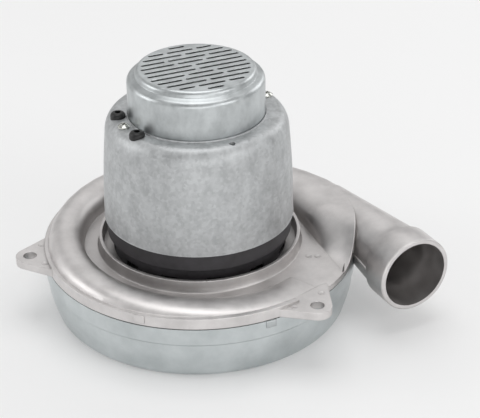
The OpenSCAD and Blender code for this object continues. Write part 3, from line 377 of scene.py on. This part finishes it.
flank = {
    "from": -87.3, "step": 6.2, "rings": 11,  # the sections, by their distance from the mouth
    "edge": 73.8, "slope": 0.119,  # how far out the deck's edge is, and how fast it comes nearer
    "round": 22, "hollow": 76,  # where along the run the scroll's round ends, and the hollow is complete
    "square": 0.85, "lap": 0.4,  # how full the scroll's round is, and how deep it sinks into the pipe
    "floor": 43.8, "drop": 0.5,  # the hollow's level, and how far from the deck's edge it starts
    "touch": 35, "proud": 0.03,  # the angle at which the sweep meets the pipe, and the skin's stand-off
    "count": 40, "sweep": 24,  # steps of a section, and those before it meets the pipe
    "skinTo": 41, "cutTo": 38,  # points of the section that the skin and the cutter take
    "wall": 1.6, "cut": 0.4,  # the skin's thickness, and how far below its face the casting is cut
    "over": 110, "behind": 1, "above": 0.1, "below": 0.05,  # the cutter's top, and its step over the deck
    "rim": 106.62, "rimHeight": 300, "rimSides": 180,  # the cut and the skin end at the shell's rim
    "angle": 36,
}


def scrollSection(inner, outer, rise):
    # the scroll's round, from its inner foot over its crown to above the pipe's axis
    middle, half, square = (inner + outer) / 2, (outer - inner) / 2, flank["square"]
    reach = (hornAxis["off"] - middle) / half
    top = acos(-(reach ** (1 / square)))
    points = []
    for i in range(flank["count"] + 1):
        w = top * i / flank["count"]
        across = -copysign(abs(cos(w)) ** square, cos(w))
        points.append((middle + across * half, deckTop + rise * abs(sin(w)) ** square))
    return points


def hollowSection(inner, radius, inset):
    # a hollow that drops a little from the deck's edge and sweeps up into the pipe's round
    off, z, floor = hornAxis["off"], hornAxis["z"], flank["floor"] - inset
    count, sweep, touch = flank["count"], flank["sweep"], radians(flank["touch"])
    start = (inner + flank["drop"], floor)
    end = (off - radius * cos(touch), z + radius * sin(touch))
    corner = (end[0] - (end[1] - floor) * sin(touch) / cos(touch), floor)
    points = [(inner, deckTop)]
    for i in range(sweep - 1):
        k = i / (sweep - 1)
        points.append(tuple((1 - k) ** 2 * p + 2 * k * (1 - k) * q + k * k * e
                            for p, q, e in zip(start, corner, end)))
    for i in range(sweep, count + 1):
        w = touch + (pi / 2 - touch) * (i - sweep) / (count - sweep)
        points.append((off - radius * cos(w), z + radius * sin(w)))
    return points


def flankSection(s, inset, keep):
    # one section across the straight run, as distances out from the motor and levels
    along = s + hornAxis["len"]
    edge = flank["edge"] - flank["slope"] * along
    radius = pipeRadius(s)
    skin = radius + flank["proud"] - inset
    old = scrollSection(edge + inset, hornAxis["off"] + radius - flank["lap"] - inset,
                        hornAxis["z"] + radius - deckTop - flank["lap"] - inset)
    new = hollowSection(edge, skin, inset)
    k = min(max((along - flank["round"]) / (flank["hollow"] - flank["round"]), 0), 1)
    k = k * k * (3 - 2 * k)
    section = []
    for p, q in zip(old[:keep], new[:keep]):
        out = Vector((p[0] + (q[0] - p[0]) * k - hornAxis["off"], p[1] + (q[1] - p[1]) * k - hornAxis["z"]))
        if out.y > 0 and out.length < skin:  # never inside the pipe
            out *= skin / out.length
        section.append((hornAxis["off"] + out.x, hornAxis["z"] + out.y))
    return section


def skinSection(s):
    return flankSection(s, 0, flank["skinTo"])


def cutterSection(s):
    # the section under the skin, closed well above it by a step behind the deck's edge
    section = flankSection(s, flank["cut"], flank["cutTo"])
    edge = section[0][0]
    section[0] = (edge, deckTop - flank["below"])
    behind = edge - flank["behind"]
    over = flank["over"]
    return section + [(section[-1][0], over), (behind, over), (behind, deckTop + flank["above"])]


def loft(name, section, closed):
    # a skin through equal sections along the straight run, with its ends closed when they are
    steps = [flank["from"] + flank["step"] * j for j in range(flank["rings"])]
    size = len(section(steps[0]))
    points = [hornPoint(s, hornAxis["off"] - out, z - hornAxis["z"]) for s in steps for out, z in section(s)]
    faces = []
    for j in range(len(steps) - 1):
        for i in range(size if closed else size - 1):
            k = (i + 1) % size
            faces.append((j * size + i, j * size + k, (j + 1) * size + k, (j + 1) * size + i))
    if closed:
        faces.append(tuple(range(size - 1, -1, -1)))
        faces.append(tuple(range((len(steps) - 1) * size, len(steps) * size)))
    mesh = bpy.data.meshes.new(name)
    mesh.from_pydata(points, [], faces)
    shape = bpy.data.objects.new(name, mesh)
    bpy.context.scene.collection.objects.link(shape)
    makeActive(shape)
    bpy.ops.object.mode_set(mode="EDIT")
    bpy.ops.mesh.select_all(action="SELECT")
    bpy.ops.mesh.normals_make_consistent(inside=False)
    bpy.ops.object.mode_set(mode="OBJECT")
    return shape


def combine(shape, other, operation):
    # joins the other shape to this one, cuts it out of it, or leaves only what they share
    makeActive(shape)
    both = shape.modifiers.new("both", "BOOLEAN")
    both.operation = operation
    both.solver = "EXACT"
    both.object = other
    bpy.ops.object.modifier_apply(modifier="both")


def copyNode(name, node):
    # a new piece with the node's shape, its loose triangles joined
    shape = bpy.data.objects.new(name, node.data.copy())
    bpy.context.scene.collection.objects.link(shape)
    shape.data.transform(node.matrix_world)
    makeActive(shape)
    joinTriangles(shape)
    bpy.ops.object.modifier_apply(modifier="join")
    return shape


def makeFlank():
    cutter = loft("flank_cutter", cutterSection, True)
    deselectAll()
    bpy.ops.mesh.primitive_cylinder_add(
        vertices=flank["rimSides"], radius=flank["rim"] * mm, depth=flank["rimHeight"] * mm,
        location=(0, 0, 0))
    drum = bpy.context.object
    combine(cutter, drum, "INTERSECT")
    body = copyNode("scroll_body", nodes["scroll_casting"])
    combine(body, cutter, "DIFFERENCE")
    skin = loft("flank_skin", skinSection, False)
    wall = skin.modifiers.new("wall", "SOLIDIFY")
    wall.thickness = flank["wall"] * mm
    wall.offset = -1  # inwards
    bpy.ops.object.modifier_apply(modifier="wall")
    combine(skin, drum, "INTERSECT")
    combine(body, skin, "UNION")
    for spare in (cutter, drum, skin):
        bpy.data.objects.remove(spare)
    smoothAll(body, flank["angle"])
    dressPiece(body, castMetal)
    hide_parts("scroll_casting")


makeFlank()
print("flank made")

# Casting marks and small pads. Sunk is how far a block reaches into what carries it, and how deep
# a mark's middle lies below its rim.

hornRib = {"from": -56, "to": -22, "width": 1.8, "proud": 0.9, "sunk": 0.8, "round": 0.35}
castPad = {
    "az": -112, "proud": 0.8, "sunk": 0.6, "width": 7.4, "low": 42.6, "high": 48.3, "round": 0.5}
shellTab = {
    "az": -65.4, "proud": 0.6, "sunk": 0.6, "width": 7.4, "low": 35.4, "high": 40.4, "round": 0.4}
ejectorMarks = {
    "radius": 2.3, "proud": 0.16, "rim": 0.45, "sunk": 0.096, "sides": 28, "upward": 0.9,
    "deck": [(73.5, -26.6), (79.5, -26.9)],
    "ears": (-170.7, -50.6, 69.4), "earRadius": 108.6, "earTop": 46.6, "earStep": 6.5}
bevelSteps = 3


def makeBlock(length, depth, height, edge):
    # a block with soft edges about the origin
    deselectAll()
    bpy.ops.mesh.primitive_cube_add(size=1, location=(0, 0, 0))
    bpy.ops.object.mode_set(mode="EDIT")
    bpy.ops.mesh.select_all(action="SELECT")
    bpy.ops.transform.resize(value=(length * mm, depth * mm, height * mm), center_override=(0, 0, 0))
    bpy.ops.mesh.bevel(offset=edge * mm, segments=bevelSteps, affect="EDGES")
    bpy.ops.object.mode_set(mode="OBJECT")
    return bpy.context.object


def makeRib(name, look):
    # the parting rib lies along the tapered pipe, on the side of the motor
    middle = (look["proud"] - look["sunk"]) / 2
    start, end = [hornPoint(s, pipeRadius(s) + middle, 0) for s in (look["from"], look["to"])]
    run = end - start
    along = run.to_track_quat("X", "Z").to_matrix().to_4x4()
    rib = makeBlock(run.length / mm, look["proud"] + look["sunk"], look["width"], look["round"])
    rib.matrix_world = Matrix.Translation((start + end) / 2) @ along
    finishTrim(name, castMetal)


def makeMark(look, place):
    # a low disc with a sunk middle
    deselectAll()
    bpy.ops.mesh.primitive_cylinder_add(
        vertices=look["sides"], radius=look["radius"] * mm, depth=2 * look["proud"] * mm,
        location=[value * mm for value in place])
    disc = bpy.context.object
    bpy.ops.object.mode_set(mode="EDIT")
    bpy.ops.mesh.select_all(action="DESELECT")
    bpy.ops.mesh.select_mode(type="FACE")
    bpy.ops.object.mode_set(mode="OBJECT")
    for face in disc.data.polygons:
        face.select = face.normal.z > look["upward"]
    bpy.ops.object.mode_set(mode="EDIT")
    bpy.ops.mesh.inset(thickness=look["rim"] * mm)
    bpy.ops.transform.translate(value=(0, 0, -look["sunk"] * mm))
    bpy.ops.object.mode_set(mode="OBJECT")
    return disc


def makeMarks(name, look):
    # what the ejector pins leave: two marks on the deck and two on each ear
    places = [(x, y, deckTop) for x, y in look["deck"]]
    for az in look["ears"]:
        for step in (-look["earStep"], look["earStep"]):
            turn = radians(az + step)
            places.append((look["earRadius"] * cos(turn), look["earRadius"] * sin(turn), look["earTop"]))
    discs = [makeMark(look, place) for place in places]
    makeActive(discs[0])
    for disc in discs:
        disc.select_set(True)
    bpy.ops.object.join()
    finishTrim(name, castMetal)


def makePad(name, look, mat):
    # a small flat pad on the round side of the shell or the casting
    pad = makeBlock(look["proud"] + look["sunk"], look["width"], look["high"] - look["low"], look["round"])
    out = shellRadius + (look["proud"] - look["sunk"]) / 2
    level = (look["low"] + look["high"]) / 2
    turn = Matrix.Rotation(radians(look["az"]), 4, "Z")
    pad.matrix_world = turn @ Matrix.Translation((out * mm, 0, level * mm))
    finishTrim(name, mat)


makeRib("horn_rib", hornRib)
makeMarks("ejector_marks", ejectorMarks)
makePad("cast_pad", castPad, castMetal)
makePad("shell_tab", shellTab, zincCap)
print("marks and pads made")

# Each brush spring gets a mesh of its own. The springs shorten against the closed ends of their tubes when a
# brush is lifted; nothing here shortens them.


def shortenSprings():
    for end, halfTurn in (("front", 0), ("rear", 180)):
        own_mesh(nodes["brush_spring_" + end])


shortenSprings()
print("springs set")

# Studio: a pale floor that glows a little, an open bright room and soft lamps, in metres and watts

studio = {
    "floor": "#DCDCDC", "floorSize": 12, "floorRoughness": 0.9, "glow": 0.17,
    "room": "#FFFFFF", "roomPower": 0.46, "aim": (0, 0, 0.06),
}
lamps = [
    {"name": "topSoftbox", "at": (0, 0.1, 1.9), "size": (1.3, 1.3), "power": 11.6},
    {"name": "backSoftbox", "at": (0, 1.6, 1.1), "size": (1.4, 0.9), "power": 2.0},
    {"name": "backLeft", "at": (-1.4, 1.1, 0.9), "size": (1.0, 1.0), "power": 1.0},
    {"name": "leftWindow", "at": (-1.9, 0, 0.8), "size": (1.0, 1.0), "power": 8.1},
    {"name": "lowFront", "at": (0, -2.0, 0.35), "size": (1.6, 0.5), "power": 6.5},
    {"name": "rightFront", "at": (1.4, -1.2, 0.9), "size": (1.0, 1.0), "power": 7.3},
    {"name": "backRight", "at": (1.4, 1.1, 0.9), "size": (1.0, 1.0), "power": 6.3},
    {"name": "frontStrip", "at": (0.62, -1.5, 0.8), "size": (0.25, 0.9), "power": 0.7},
]


def makeFloor():
    deselectAll()
    bpy.ops.mesh.primitive_plane_add(size=studio["floorSize"], location=(0, 0, 0))
    floor = bpy.context.object
    floor.name = "floor"
    mat = bpy.data.materials.new("paper")
    mat.use_nodes = True
    paper = mat.node_tree.nodes["Principled BSDF"].inputs
    paper["Base Color"].default_value = linear(studio["floor"])
    paper["Roughness"].default_value = studio["floorRoughness"]
    paper["Emission Color"].default_value = linear(studio["room"])
    paper["Emission Strength"].default_value = studio["glow"]
    floor.data.materials.append(mat)


def makeRoom():
    world = bpy.data.worlds.new("room")
    bpy.context.scene.world = world
    world.use_nodes = True
    tree = world.node_tree
    tree.nodes.clear()
    light = addNode(tree, "ShaderNodeBackground", {
        "Color": linear(studio["room"]), "Strength": studio["roomPower"]})
    addNode(tree, "ShaderNodeOutputWorld", {}, {"Surface": light.outputs[0]})
    bpy.context.scene.view_settings.view_transform = "Standard"


def makeLamps():
    for lamp in lamps:
        data = bpy.data.lights.new(lamp["name"], "AREA")
        data.shape = "RECTANGLE"
        data.size, data.size_y = lamp["size"]
        data.energy = lamp["power"]
        holder = bpy.data.objects.new(lamp["name"], data)
        bpy.context.scene.collection.objects.link(holder)
        place = Vector(lamp["at"])
        holder.location = place
        holder.rotation_euler = (Vector(studio["aim"]) - place).to_track_quat("-Z", "Y").to_euler()


makeFloor()
makeRoom()
makeLamps()
print("studio set")
